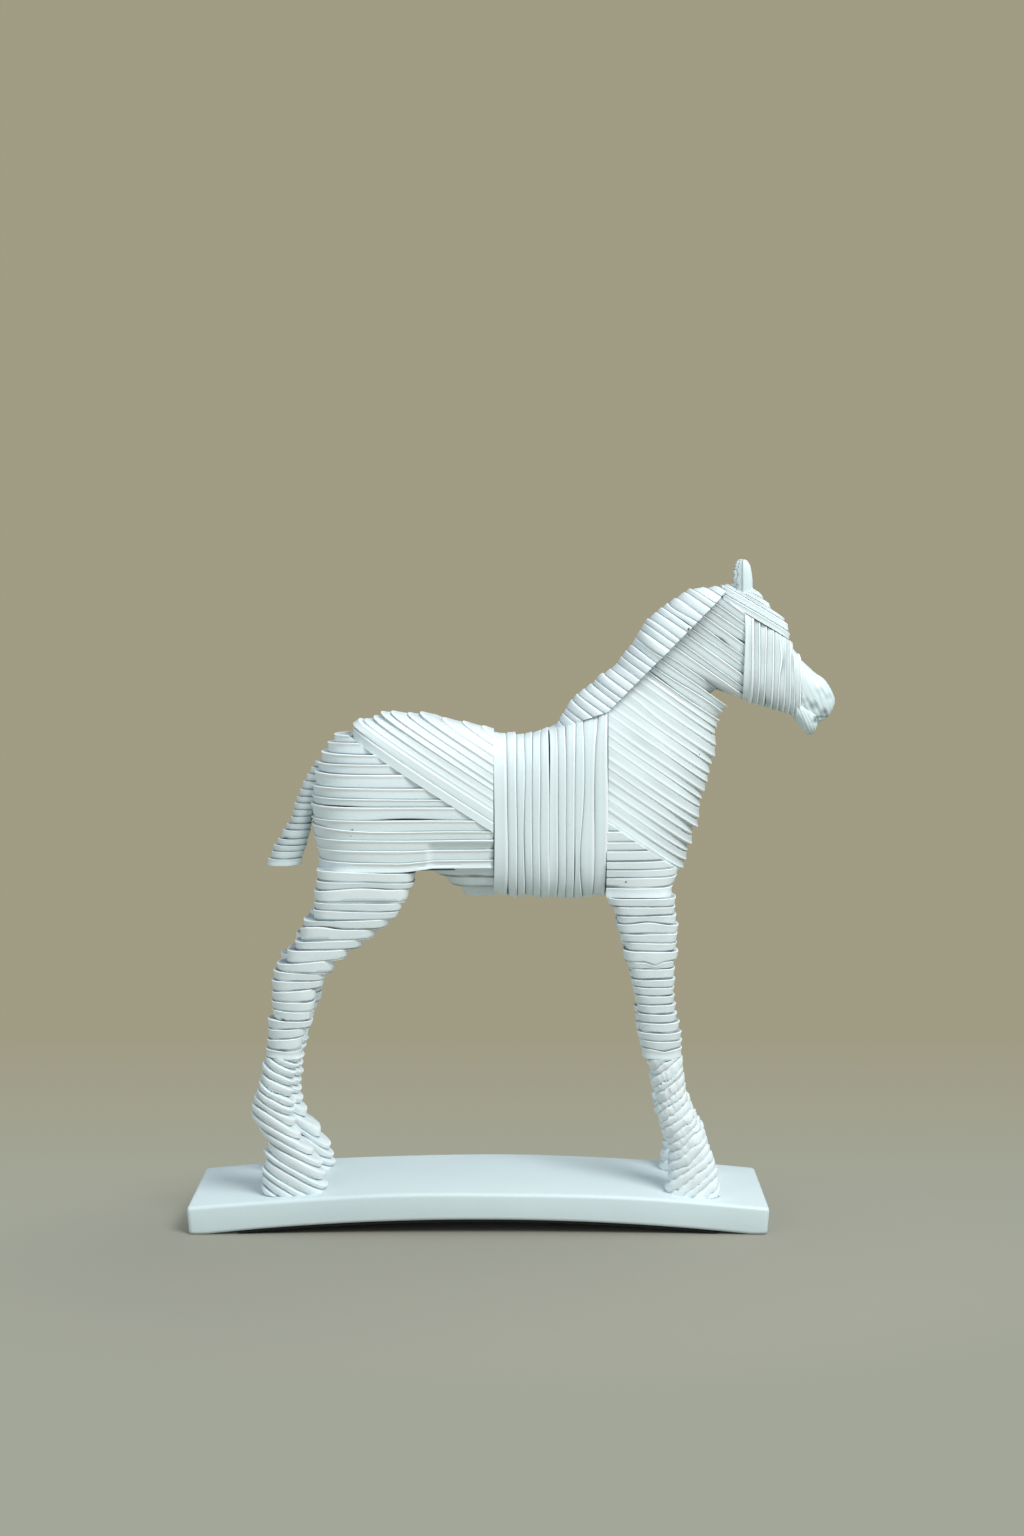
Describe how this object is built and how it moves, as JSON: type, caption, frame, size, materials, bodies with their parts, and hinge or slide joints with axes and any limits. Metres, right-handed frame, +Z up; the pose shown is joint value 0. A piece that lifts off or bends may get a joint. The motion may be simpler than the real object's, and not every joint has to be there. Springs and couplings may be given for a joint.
{
  "type": "foal statuette",
  "caption": "Standing foal statuette wound with narrow flat white strips round a carved core, pegged to a shallow arched slab plinth.",
  "frame": {"origin": "middle of the object's footprint box, on the surface that the plinth stands on", "axes": "+Z up, +X towards the nose, +Y to the foal's left"},
  "size_m": [0.3672, 0.078, 0.3815],
  "materials": {
    "strip_white": "satin",
    "ear_white": "satin",
    "muzzle_white": "satin",
    "plinth_white": "satin",
    "lining_black": "matte",
    "core_wood": "matte",
    "dowel_wood": "matte",
    "wire_steel": "satin"
  },
  "bodies": {
    "root": {"barrel_core": "core_wood", "barrel_wrap": "strip_white", "belly_wrap": "strip_white", "brisket_wrap": "strip_white", "brow_wrap": "strip_white", "cheek_wrap": "strip_white", "croup_wrap": "strip_white", "ear_left": "ear_white", "ear_right": "ear_white", "foot_pegs": "dowel_wood", "fore_leg_core_left": "core_wood", "fore_leg_core_right": "core_wood", "fore_lower_wrap_left": "strip_white", "fore_lower_wrap_right": "strip_white", "fore_upper_wrap_left": "strip_white", "fore_upper_wrap_right": "strip_white", "haunch_wrap": "strip_white", "head_core": "core_wood", "head_dowel": "dowel_wood", "hind_leg_core_left": "core_wood", "hind_leg_core_right": "core_wood", "hind_lower_wrap_left": "strip_white", "hind_lower_wrap_right": "strip_white", "hind_upper_wrap_left": "strip_white", "hind_upper_wrap_right": "strip_white", "leg_dowels": "dowel_wood", "mane_wrap": "strip_white", "muzzle": "muzzle_white", "neck_core": "core_wood", "neck_wrap": "strip_white", "plinth": "plinth_white", "rump_core": "core_wood", "spine_dowel": "dowel_wood", "tail_wire": "wire_steel", "tail_wrap": "strip_white", "underside_lining": "lining_black"}
  },
  "joints": []
}
